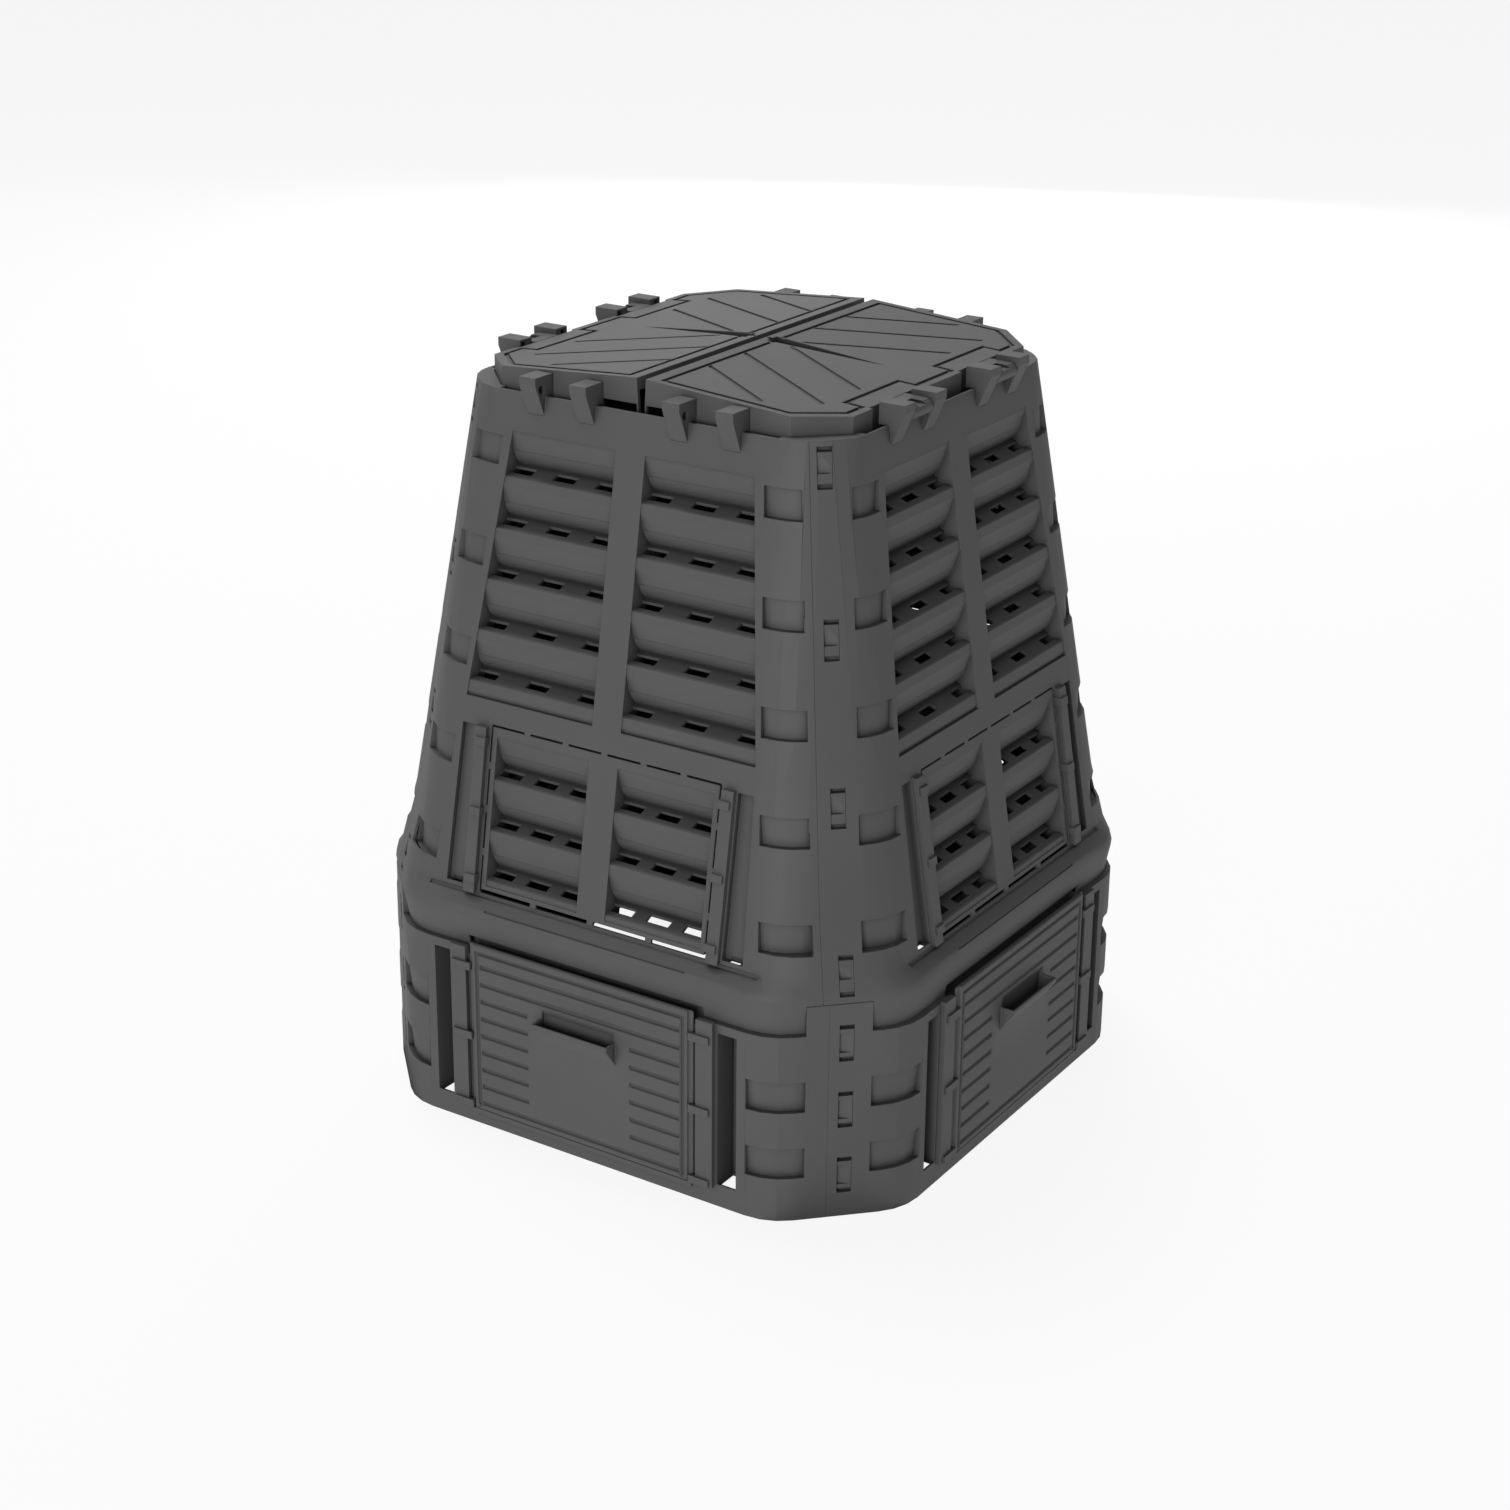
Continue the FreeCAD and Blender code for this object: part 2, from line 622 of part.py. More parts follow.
def upper_wall():
    skin = size("skin")
    foot = size("foot_level")
    rim = size("rim_level")
    bottom = size("ring_top") + 0.2
    high = size("flare_level")
    low_inset = size("base_half") - size("band_low_half")
    high_inset = size("base_half") - size("band_half")
    bands = [inward(base_section(bottom), low_inset), inward(base_section(size("band_level")), high_inset),
             flare(size("band_top"), size("band_top_half")), flare(foot, wall_half(foot)), taper(high),
             taper(rim)]
    inner = [inward(base_section(bottom - 5), low_inset),
             inward(base_section(size("band_level") - 2), high_inset),
             flare(size("band_top") - 4, size("band_top_half")),
             flare(foot - 3, wall_half(foot - 3)), taper(high), taper(rim + 5)]
    wall = stack(bands).cut(stack(inner, skin))
    line_low = size("band_top") - size("band_line_height")
    line_half = size("band_line_half")
    line = extrude_side([(size("base_half") + 5, line_low), (size("base_half") + 5, size("band_top")),
                         (size("band_top_half") - size("band_line"), size("band_top")),
                         (size("band_top_half") - size("band_line"), line_low)], -line_half, line_half)
    crease_low = size("crease_low")
    crease_top = size("crease_top")
    crease = extrude_side([(size("base_half"), crease_low), (size("base_half"), crease_top),
                           (size("foot_half") - size("crease_depth"), crease_top),
                           (size("foot_half") - size("crease_depth") + 2, crease_low)],
                          -size("crease_half"), size("crease_half"))
    clearance = extrude_front(box_outline(size("gutter_half"), bottom - 1, bottom + size("band_clear")), 130)
    posts = corner_posts(200, size("post_top") + 0.2)
    wall = wall.cut(posts + [line, crease, clearance]).fuse(rim_flange())

    sides = (size("window_low"), size("window_top"), size("window_low_half"), size("window_top_half"))
    hatch = (size("hatch_window_low"), size("hatch_window_top"), size("hatch_window_half"),
             size("hatch_window_half"))
    windows = [louvred_window(sides, size("first_lip"), 6, size("pan_sink")),
               louvred_window(hatch, size("hatch_first_lip"), 4, size("hatch_pan_sink"))]
    wall = wall.cut([item for opening, pan in windows for item in both_sides(opening)])
    wall = wall.fuse([item for opening, pan in windows for item in both_sides(pan)])
    wall = wall.cut(hatch_slits())

    added, hollows = hatch_guides()
    claws = [item for place in ("claw_inner", "claw_outer") for item in both_sides(claw(size(place)))]
    wall = wall.fuse(added + claws).cut(hollows)
    bore_start = size("claw_inner") + size("claw_width") / 2 - size("pin_length")
    bore_end = size("claw_outer") - size("claw_width") / 2 + size("pin_length")
    bore = Part.makeCylinder(size("pin_radius") + size("pin_clearance"), bore_end - bore_start,
                             Vector(bore_start, -size("pin_half"), size("pin_level")), Vector(1, 0, 0))
    moulded = both_sides(claw_hollow(size("claw_inner"), 1)) + both_sides(claw_hollow(size("claw_outer"), -1))
    wall = wall.cut(both_sides(bore) + moulded)

    lows = [size("scoop_low") + size("scoop_pitch") * index for index in range(5)]
    wall = scooped(wall, taper, lows, size("scoop_height"), size("scoop_start"), size("scoop_lean"),
                   size("scoop_end"))
    clips = []
    for index in range(4):
        rise = size("clip_pitch") * index
        clips.append((size("clip_low") + rise, -size("clip_lean") * rise))
    return clipped(wall, clip_section, stack(bands, 1), size("upper_seam"), clips,
                   size("flange_level") - 0.6)


def clip_section(level):
    """Outline of the wall behind the clips, from the band up."""
    return flare(level, wall_half(level)) if level < size("flare_level") else taper(level)


# Sliding door

def base_door():
    body = new_body("base_door_front")
    sheet_face = polygon_sketch(body, "DoorSheet", "XZ_Plane",
                                [box_loop("-door_half", "door_low", "door_half", "door_top")], "door_back")
    pad(body, "DoorFlange", sheet_face, "door_flange")
    face = polygon_sketch(body, "DoorFace", "XZ_Plane",
                          [box_loop("door_rebate - door_half", "door_low", "door_half - door_rebate",
                                    "door_top")], "door_back")
    pad(body, "DoorPanel", face, "door_front - door_back")

    rows = []
    for index in range(9):
        low = "groove_low + groove_pitch * %d - groove_height / 2" % index
        high = "groove_low + groove_pitch * %d + groove_height / 2" % index
        if index in (0, 7, 8):
            rows.append(box_loop("-groove_half", low, "groove_half", high))
        else:
            rows.append(box_loop("-groove_half", low, "-groove_inner", high))
            rows.append(box_loop("groove_inner", low, "groove_half", high))
    rows.append([("-frame_half", "door_low + 6"), ("frame_line - frame_half", "door_low + 6"),
                 ("frame_line - frame_half", "frame_top - frame_line"),
                 ("frame_half - frame_line", "frame_top - frame_line"),
                 ("frame_half - frame_line", "door_low + 6"), ("frame_half", "door_low + 6"),
                 ("frame_half", "frame_top"), ("-frame_half", "frame_top")])
    grooves = polygon_sketch(body, "GrooveRows", "XZ_Plane", rows, "door_front")
    pocket(body, "Grooves", grooves, "groove_depth")

    outline = [("0 - door_front + 1", "handle_low"), ("0 - handle_front", "handle_top - 6"),
               ("0 - handle_front", "handle_top"), ("0 - door_front + 1", "handle_top")]
    grip = polygon_sketch(body, "GripOutline", "YZ_Plane", [outline])
    pad(body, "Grip", grip, "handle_half * 2", midplane=True)
    hollow = [("0 - grip_floor", "handle_low + 12"), ("grip_skin - handle_front", "handle_top - 6"),
              ("grip_skin - handle_front", "handle_top + 1"), ("0 - door_front - 1", "grip_roof + 2"),
              ("0 - grip_floor", "grip_roof - 8")]
    finger = polygon_sketch(body, "FingerOutline", "YZ_Plane", [hollow])
    pocket(body, "FingerPocket", finger, "(handle_half - grip_skin) * 2", midplane=True)
    return body


# Lid leaf on the right side

def tilted(sketch, sink="0"):
    """Lay a plan sketch on the slope of the lid, or sunk below it."""
    sketch.AttachmentOffset = Placement(Vector(0, 0, size("ridge_level")), Rotation(Vector(0, 1, 0), 4))
    sketch.setExpression("AttachmentOffset.Base.z", bound("ridge_level - %s" % sink))
    sketch.setExpression("AttachmentOffset.Rotation.Angle",
                         bound("atan((ridge_level - eaves_level) / lid_half)"))


def sunk_floor(sketch):
    """Lay a plan sketch on the floor of the wedge, which sinks from the lid's slope to the ridge."""
    fall = "(ridge_level - eaves_level) / lid_half"
    sink = "wedge_depth / (wedge_end - dimple_near)"
    level = "ridge_level - %s * wedge_end" % sink
    angle = "atan(%s - %s)" % (fall, sink)
    sketch.AttachmentOffset = Placement(Vector(0, 0, value_of(level)),
                                        Rotation(Vector(0, 1, 0), value_of(angle)))
    sketch.setExpression("AttachmentOffset.Base.z", bound(level))
    sketch.setExpression("AttachmentOffset.Rotation.Angle", bound(angle))


def circle_sketch(body, name, role, across, up, radius, offset):
    sketch = body.newObject("Sketcher::SketchObject", name)
    sketch.AttachmentSupport = [(origin_plane(body, role), "")]
    sketch.MapMode = "FlatFace"
    sketch.setExpression("AttachmentOffset.Base.z", bound(offset))
    centre = Vector(value_of(across), value_of(up), 0)
    sketch.addGeometry(Part.Circle(centre, Vector(0, 0, 1), value_of(radius)), False)
    place_circle = (("DistanceX", centre.x, across), ("DistanceY", centre.y, up))
    for kind, number, text in place_circle:
        index = sketch.addConstraint(Sketcher.Constraint(kind, -1, 1, 0, 3, number))
        sketch.setExpression("Constraints[%d]" % index, bound(text))
    index = sketch.addConstraint(Sketcher.Constraint("Radius", 0, value_of(radius)))
    sketch.setExpression("Constraints[%d]" % index, bound(radius))
    return sketch


def lid_plan(edge, relief, corner, start, margin="0"):
    """Plan outline of a leaf: bevelled corners and a relief at each pair of claws."""
    near = "relief_near - %s" % margin
    far = "relief_far + %s" % margin
    right = [(edge, near), (relief, near), (relief, far), (edge, far), (edge, corner), (corner, edge),
             (start, edge)]
    left = [(x, "0 - (%s)" % y) for x, y in reversed(right)]
    return left + right


def lid_leaf():
    body = new_body("lid_leaf_right")
    plan = polygon_sketch(body, "LeafPlan", "XY_Plane",
                          [lid_plan("lid_half", "relief_edge", "lid_corner", "lid_gap")], "skirt_low")
    pad(body, "LeafBlock", plan, "ridge_level - skirt_low")
    slope = polygon_sketch(body, "SlopeOutline", "XZ_Plane",
                           [[("0 - lid_half", "ridge_level + (ridge_level - eaves_level)"),
                             ("lid_half * 2", "ridge_level - 2 * (ridge_level - eaves_level)"),
                             ("lid_half * 2", "ridge_level + 60"), ("0 - lid_half", "ridge_level + 60")]])
    pocket(body, "Slope", slope)
    gap = polygon_sketch(body, "RidgeGap", "XZ_Plane",
                         [[("0 - 1", "skirt_low - 1"), ("lid_gap", "skirt_low - 1"),
                           ("ridge_gap", "ridge_level + 1"), ("0 - 1", "ridge_level + 1")]])
    pocket(body, "RidgeGapCut", gap)
    doc.recompute()
    block = body.Tip
    shell = body.newObject("PartDesign::Thickness", "LeafShell")
    shell.Base = (block, [lowest_face(block.Shape)])
    shell.setExpression("Value", bound("lid_skin"))
    shell.Reversed = True
    shell.Mode = 0
    shell.Join = 1
    body.Tip = shell

    seam = polygon_sketch(body, "SeamOutline", "XZ_Plane",
                          [box_loop("0 - 5", "skirt_low - 5", "ridge_gap + lid_skin + 1",
                                    "ridge_level - 16")])
    pocket(body, "SeamEdge", seam, "2 * lid_half - 2 * lid_skin", midplane=True)
    notch = polygon_sketch(body, "NotchOutline", "XZ_Plane",
                           [box_loop("notch_start", "skirt_low - 5", "notch_end", "notch_top")])
    pocket(body, "FingerNotches", notch)

    outer = lid_plan("border_half", "border_half - border_jog", "border_corner", "seam_groove")
    inner = lid_plan("border_half - border_groove", "border_half - border_groove - border_jog",
                     "border_corner - border_groove * 0.4", "seam_groove + border_groove", "border_groove")
    border = polygon_sketch(body, "BorderOutline", "XY_Plane", [outer, inner])
    tilted(border)
    pocket(body, "BorderGroove", border, "border_depth")
    rays = polygon_sketch(body, "RayOutline", "XY_Plane", ray_loops())
    tilted(rays)
    pocket(body, "Rays", rays, "ray_depth")
    keel = polygon_sketch(body, "KeelOutline", "XY_Plane",
                          [box_loop("ridge_gap + 2", "0 - keel_half", "keel_end", "keel_half")])
    tilted(keel, "keel_depth")
    pad(body, "Keel", keel, "keel_depth - 1")
    wedge = polygon_sketch(body, "WedgeOutline", "XY_Plane",
                           [[("dimple_far", "0 - wedge_half"), ("wedge_end", "0 - 0.5"),
                             ("wedge_end", "0.5"), ("dimple_far", "wedge_half")]])
    sunk_floor(wedge)
    pocket(body, "Wedge", wedge, "wedge_depth + lid_skin", reverse=True)
    dimple = polygon_sketch(body, "DimpleOutline", "XY_Plane",
                            [box_loop("dimple_near", "0 - dimple_half", "dimple_far", "dimple_half")],
                            "ridge_level")
    pocket(body, "Dimple", dimple, "wedge_depth + 1")

    lug_outline = [("relief_edge - 4", "pin_level - 7"), ("pin_half", "pin_level - 8"),
                   ("pin_half + 4", "pin_level + 9"), ("relief_edge - 4", "pin_level + 10.3")]
    for side, sign in (("Front", ""), ("Back", "0 - ")):
        middle = "%s(claw_inner + claw_outer) / 2" % sign
        lug = polygon_sketch(body, "LugOutline" + side, "XZ_Plane", [lug_outline], middle)
        pad(body, "Lug" + side, lug, "lug_half * 2", midplane=True)
        barrel = circle_sketch(body, "BarrelCircle" + side, "XZ_Plane", "pin_half", "pin_level",
                               "barrel_radius", middle)
        pad(body, "Barrel" + side, barrel, "lug_half * 2", midplane=True)
        steps = [box_loop("pin_half - 12", "pin_level + 5.5", "pin_half + 14", "pin_level + 20")]
        step = polygon_sketch(body, "StepOutline" + side, "XZ_Plane", steps, middle)
        pocket(body, "LugStep" + side, step, "lug_half * 0.7", midplane=True)
        pin = circle_sketch(body, "PinCircle" + side, "XZ_Plane", "pin_half", "pin_level", "pin_radius",
                            middle)
        pad(body, "Pins" + side, pin, "claw_outer - claw_inner - claw_width + 2 * pin_length - 2",
            midplane=True)
    return body


def lowest_face(shape):
    """Name of the flat face at the bottom of a shape."""
    heights = [face.CenterOfMass.z for face in shape.Faces]
    return "Face%d" % (heights.index(min(heights)) + 1)


def ray_loops():
    """Slim grooves that fan from the ridge towards the corners, in plan on the leaf."""
    loops = []
    for near, start, end in ((52, 10, 207), (28, 76, 207), (28, 153, 150)):
        for sign in ("", "0 - "):
            rise = "(%d - %d) * ray_slope" % (end, near)
            loops.append([("%d" % near, "%s(%d)" % (sign, start)),
                          ("%d" % end, "%s(%d + %s)" % (sign, start, rise)),
                          ("%d" % end, "%s(%d + %s + ray_width)" % (sign, start, rise)),
                          ("%d" % near, "%s(%d + ray_width)" % (sign, start))])
    return loops


# Assembly

def solid_feature(label, shape, angle=0):
    """A plain feature for a shape, turned about the bin's axis."""
    feature = doc.addObject("Part::Feature", label)
    feature.Label = label
    feature.Shape = shape
    feature.Placement = Placement(Vector(), Rotation(Vector(0, 0, 1), angle))
    return feature


def twins(label, shape):
    """The front piece's twins on the other three sides."""
    return [solid_feature("%s_%s" % (label, side), shape, angle)
            for side, angle in (("right", 90), ("back", 180), ("left", 270))]


lower = solid_feature("base_wall_front", base_wall())
upper = solid_feature("upper_wall_front", upper_wall())
door = base_door()
leaf = lid_leaf()
doc.recompute()
parts = [lower, upper, door, leaf]
parts += twins("base_wall", lower.Shape) + twins("upper_wall", upper.Shape)
parts += twins("base_door", door.Shape)
parts.append(solid_feature("lid_leaf_left", leaf.Shape, 180))
doc.recompute()

for item in doc.Objects:
    if "Invalid" in item.State or "Error" in item.State:
        raise RuntimeError("%s did not build" % item.Name)
for part in parts:
    if part.Shape.isNull() or not part.Shape.isValid():
        raise RuntimeError("%s has no valid shape" % part.Label)
    if len(part.Shape.Solids) != 1:
        raise RuntimeError("%s has %d solids" % (part.Label, len(part.Shape.Solids)))

os.makedirs("parts", exist_ok=True)
for part in parts:
    part.Shape.exportStep("parts/%s.step" % part.Label)
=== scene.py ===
"""Dressed model of a square garden compost bin with a two-leaf lid, laid out as a Blender add-on."""
import math

import bmesh
import bpy
from bpy.props import FloatProperty, IntProperty, PointerProperty, StringProperty
from mathutils import Matrix, Vector
from mathutils.bvhtree import BVHTree


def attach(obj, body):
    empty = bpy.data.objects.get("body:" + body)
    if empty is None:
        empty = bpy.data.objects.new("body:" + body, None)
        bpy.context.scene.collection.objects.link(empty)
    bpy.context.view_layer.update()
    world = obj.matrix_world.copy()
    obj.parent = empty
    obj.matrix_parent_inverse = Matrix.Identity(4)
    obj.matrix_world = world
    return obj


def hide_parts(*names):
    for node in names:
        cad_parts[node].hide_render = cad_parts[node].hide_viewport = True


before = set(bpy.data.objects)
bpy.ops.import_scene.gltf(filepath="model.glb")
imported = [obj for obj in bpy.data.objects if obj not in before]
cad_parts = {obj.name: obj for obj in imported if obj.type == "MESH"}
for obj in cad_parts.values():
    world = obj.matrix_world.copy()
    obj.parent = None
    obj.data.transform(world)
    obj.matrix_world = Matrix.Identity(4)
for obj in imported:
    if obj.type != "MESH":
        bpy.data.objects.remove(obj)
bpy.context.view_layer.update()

bl_info = {
    "name": "Compost Bin",
    "version": (1, 0, 0),
    "blender": (4, 5, 0),
    "location": "3D View > Sidebar > Compost Bin",
    "description": "Dresses the packed compost bin and sets up its studio",
    "category": "Object",
}

SIDES = ("front", "right", "back", "left")
MM = 0.001


# Settings

class PlasticSettings(bpy.types.PropertyGroup):
    colour: StringProperty(name="Colour", description="Charcoal of the moulded panels, as sRGB hex",
                           default="505050")
    roughness: FloatProperty(name="Roughness", description="Roughness of the grained surface",
                             default=0.62, min=0.0, max=1.0, subtype="FACTOR")
    grain: FloatProperty(name="Grain", description="Width of one grain of the mould's texture",
                         default=1.6 * MM, min=0.1 * MM, unit="LENGTH")
    grain_height: FloatProperty(name="Grain height", description="Height of the mould's texture",
                                default=0.05 * MM, min=0.0, unit="LENGTH")
    # Reach of the painted shade: the plastic's colour is darkened in narrow nooks, where little light
    # reaches them.
    painted_nook_shade: FloatProperty(name="Painted nook shade", description="Reach of the darker tone that gathers in narrow nooks",
                        default=12.0 * MM, min=0.0, unit="LENGTH")
    edge: FloatProperty(name="Edge radius", description="Rounding of the moulded edges",
                        default=0.5 * MM, min=0.0, unit="LENGTH")
    door_edge: FloatProperty(name="Door edge radius", description="Rounding of the doors' edges and ribs",
                             default=1.6 * MM, min=0.0, unit="LENGTH")


class LouvreSettings(bpy.types.PropertyGroup):
    foot_level: FloatProperty(name="Foot level", description="Height where the tapered wall starts",
                              default=0.312, unit="LENGTH")
    foot_half: FloatProperty(name="Foot half", description="Wall face from the axis at the foot level",
                             default=0.3725, unit="LENGTH")
    slope: FloatProperty(name="Wall slope", description="How far the wall leans in for each unit of height",
                         default=100.0 / 618.0)
    pitch: FloatProperty(name="Pitch", description="Height from one slat to the next", default=0.0637,
                         unit="LENGTH")
    skin: FloatProperty(name="Skin", description="Thickness of the slats' curved faces", default=2.4 * MM,
                        unit="LENGTH")
    mullion: FloatProperty(name="Mullion half", description="Half the width of the bar between windows",
                           default=0.021, unit="LENGTH")


class RimSettings(bpy.types.PropertyGroup):
    level: FloatProperty(name="Level", description="Top of the rim", default=0.930, unit="LENGTH")
    half: FloatProperty(name="Half", description="Half the width over the rim", default=0.2725,
                        unit="LENGTH")
    corner: FloatProperty(name="Corner", description="Where the rim's side would meet its bevel",
                          default=0.225, unit="LENGTH")
    blend: FloatProperty(name="Blend", description="Radius between side and bevel", default=0.066,
                         unit="LENGTH")
    lid_half: FloatProperty(name="Lid half", description="Half the width over the lid", default=0.257,
                            unit="LENGTH")
    lid_corner: FloatProperty(name="Lid corner", description="Where the lid's side meets its bevel",
                              default=0.205, unit="LENGTH")
    gap: FloatProperty(name="Gap", description="Between the lid and the corner decks",
                       default=1.0 * MM, unit="LENGTH")
    deck: FloatProperty(name="Deck", description="Thickness of the corner decks", default=3.4 * MM,
                        unit="LENGTH")


class WindowSettings(bpy.types.PropertyGroup):
    low: FloatProperty(name="Low level", description="Bottom edge of the window", default=0.554,
                       unit="LENGTH")
    top: FloatProperty(name="Top level", description="Top edge of the window", default=0.883,
                       unit="LENGTH")
    low_edge: FloatProperty(name="Low edge", description="Outer edge at the bottom", default=0.2118,
                            unit="LENGTH")
    top_edge: FloatProperty(name="Top edge", description="Outer edge at the top", default=0.1726,
                            unit="LENGTH")
    first_lip: FloatProperty(name="First lip", description="Level of the first slat's lip",
                             default=0.8913, unit="LENGTH")
    slats: IntProperty(name="Slats", description="Number of slats in the window", default=6, min=3)
    last_share: FloatProperty(name="Last slat", description="Share of the last slat's face that shows",
                              default=0.42, min=0.0, max=1.0, subtype="FACTOR")


class StudioSettings(bpy.types.PropertyGroup):
    azimuth: FloatProperty(name="Azimuth", description="Camera's place round the bin",
                           default=math.radians(32.79), subtype="ANGLE", unit="ROTATION")
    elevation: FloatProperty(name="Elevation", description="Camera's place above the horizon",
                             default=math.radians(20.37), subtype="ANGLE", unit="ROTATION")
    roll: FloatProperty(name="Roll", description="Turn of the camera about its view",
                        default=math.radians(0.55), subtype="ANGLE", unit="ROTATION")
    distance: FloatProperty(name="Distance", description="Camera from the point it looks at",
                            default=3.609, unit="LENGTH")
    look_at: FloatProperty(name="Look at", description="Height of the point the camera looks at",
                           default=0.52, unit="LENGTH")
    lens: FloatProperty(name="Lens", description="Focal length on a 36 mm sensor", default=66.74)
    shift_x: FloatProperty(name="Shift X", description="Sideways shift of the lens", default=-0.0022)
    shift_y: FloatProperty(name="Shift Y", description="Upward shift of the lens", default=-0.0522)
    world: FloatProperty(name="World", description="Strength of the even light", default=0.16, min=0.0)
    sheen: FloatProperty(name="Sheen", description="Brightness of the white walls in reflections",
                         default=0.46, min=0.0)
    shine: FloatProperty(name="Shine", description="Brightness of the floor in reflections", default=0.8,
                         min=0.0)
    bounce: FloatProperty(name="Bounce", description="Light that the floor gives from below", default=0.95,
                          min=0.0)
    key: FloatProperty(name="Key", description="Power of the large softbox overhead", default=260.0,
                       min=0.0, unit="POWER")
    fill: FloatProperty(name="Fill", description="Power of the soft lamp at the left of the front",
                        default=10.0, min=0.0, unit="POWER")
    front: FloatProperty(name="Front", description="Power of the soft lamp near the camera",
                         default=175.0, min=0.0, unit="POWER")
    rear: FloatProperty(name="Rear", description="Power of the soft lamp behind the left corner",
                        default=34.0, min=0.0, unit="POWER")
    back: FloatProperty(name="Back", description="Power of the light on the back, kept out of reflections",
                        default=150.0, min=0.0, unit="POWER")


# Shared helpers

def linear(hex_colour):
    """Linear RGBA from an sRGB hex string."""
    channels = [int(hex_colour[i:i + 2], 16) / 255 for i in (0, 2, 4)]
    return [c / 12.92 if c <= 0.04045 else ((c + 0.055) / 1.055) ** 2.4 for c in channels] + [1.0]


def add_node(tree, kind, settings=None, inputs=None):
    """Add a node to a tree, set its properties, and fill or link its inputs by name or index.

    A list of sockets goes to an input that takes several links.
    """
    node = tree.nodes.new(kind)
    for name, value in (settings or {}).items():
        setattr(node, name, value)
    for key, value in (inputs or {}).items():
        sources = value if isinstance(value, list) else [value]
        if isinstance(sources[0], bpy.types.NodeSocket):
            for source in sources:
                tree.links.new(source, node.inputs[key])
        else:
            node.inputs[key].default_value = value
    return node


def moulded_polypropylene(part="", painted_shade_share=1.0):
    """Injection-moulded polypropylene from a spark-eroded mould.

    It is an even charcoal with a soft broad sheen, and its fine raised grain, drawn a little coarse so
    that it shows, breaks up the highlights. Narrow nooks are darker because shade is painted into the
    colour wherever the piece's own faces keep light from them.
    """
    name = "moulded_polypropylene" + part
    if name in bpy.data.materials:
        return bpy.data.materials[name]
    plastic = bpy.context.scene.compost_plastic
    material = bpy.data.materials.new(name)
    material.use_nodes = True
    tree = material.node_tree
    tree.nodes.clear()
    place = add_node(tree, "ShaderNodeTexCoord")
    grain = add_node(tree, "ShaderNodeTexNoise", inputs={
        "Vector": place.outputs["Object"], "Scale": 1 / plastic.grain, "Detail": 2.0, "Roughness": 0.6})
    flow = add_node(tree, "ShaderNodeTexNoise", inputs={
        "Vector": place.outputs["Object"], "Scale": 9.0, "Detail": 3.0, "Roughness": 0.5})
    shades = add_node(tree, "ShaderNodeMapRange", inputs={
        "Value": flow.outputs["Fac"], "From Min": 0.3, "From Max": 0.7, "To Min": 0.96, "To Max": 1.04})
    base = add_node(tree, "ShaderNodeVectorMath", {"operation": "SCALE"}, {
        0: linear(plastic.colour)[:3], "Scale": shades.outputs["Result"]})
    bump = add_node(tree, "ShaderNodeBump", inputs={
        "Height": grain.outputs["Fac"], "Distance": plastic.grain_height, "Strength": 1.0})
    # Painted shade: ambient occlusion from the piece itself darkens the base colour in nooks and creases.
    painted_nook_shade = add_node(tree, "ShaderNodeAmbientOcclusion", {"samples": 8, "only_local": True}, {
        "Distance": plastic.painted_nook_shade * painted_shade_share})
    nook_shade_factor = add_node(tree, "ShaderNodeMapRange", inputs={
        "Value": painted_nook_shade.outputs["AO"], "From Min": 0.4, "From Max": 0.97, "To Min": 0.42, "To Max": 1.0})
    base = add_node(tree, "ShaderNodeVectorMath", {"operation": "SCALE"}, {
        0: base.outputs["Vector"], "Scale": nook_shade_factor.outputs["Result"]})
    surface = add_node(tree, "ShaderNodeBsdfPrincipled", inputs={
        "Base Color": base.outputs["Vector"], "Roughness": plastic.roughness, "IOR": 1.49,
        "Normal": bump.outputs["Normal"]})
    add_node(tree, "ShaderNodeOutputMaterial", inputs={"Surface": surface.outputs["BSDF"]})
    return material


def slat_polypropylene():
    """The same plastic on the slats, whose open curved faces get painted nook shade with only a fifth of
    the reach.
    """
    return moulded_polypropylene("_slats", 0.2)


def link_object(name, mesh):
    """A new object with the mesh, in the scene."""
    piece = bpy.data.objects.new(name, mesh)
    bpy.context.scene.collection.objects.link(piece)
    return piece


def shade(mesh):
    """Smooth shading that stays crisp at edges sharper than the blends' facets."""
    mesh.shade_smooth()
    mesh.set_sharp_from_angle(angle=math.radians(28))


def applied(piece):
    """Swap the piece's mesh for what its modifiers make of it."""
    graph = bpy.context.evaluated_depsgraph_get()
    mesh = bpy.data.meshes.new_from_object(piece.evaluated_get(graph))
    plain = piece.data
    piece.modifiers.clear()
    piece.data = mesh
    bpy.data.meshes.remove(plain)


def rounded(piece, radius):
    """Give a piece its rounded edges, with normals that keep the flat faces flat.

    Where short edges make the rounding throw a point off the plain surface, the point goes back onto it.
    """
    surface = BVHTree.FromPolygons([vertex.co.copy() for vertex in piece.data.vertices],
                                   [tuple(face.vertices) for face in piece.data.polygons])
    rounding = piece.modifiers.new("Edges", "BEVEL")
    rounding.width = radius
    rounding.segments = 2
    rounding.limit_method = "ANGLE"
    rounding.angle_limit = math.radians(40)
    rounding.use_clamp_overlap = False
    applied(piece)
    for vertex in piece.data.vertices:
        nearest, _, _, distance = surface.find_nearest(vertex.co)
        if distance > radius:
            vertex.co = nearest
    evening = piece.modifiers.new("Normals", "WEIGHTED_NORMAL")
    evening.mode = "FACE_AREA"
    evening.keep_sharp = True
    applied(piece)


def dressed(node, body, radius=None):
    """The moulded piece that stands for a CAD node: its merged mesh with rounded edges."""
    mesh = bpy.data.meshes.new(node + "_moulding")
    form = bmesh.new()
    form.from_mesh(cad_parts[node].data)
    bmesh.ops.remove_doubles(form, verts=form.verts, dist=0.01 * MM)
    form.to_mesh(mesh)
    form.free()
    shade(mesh)
    piece = link_object(node + "_moulding", mesh)
    rounded(piece, radius or bpy.context.scene.compost_plastic.edge)
    finish_piece(piece, body)
    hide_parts(node)
    return piece


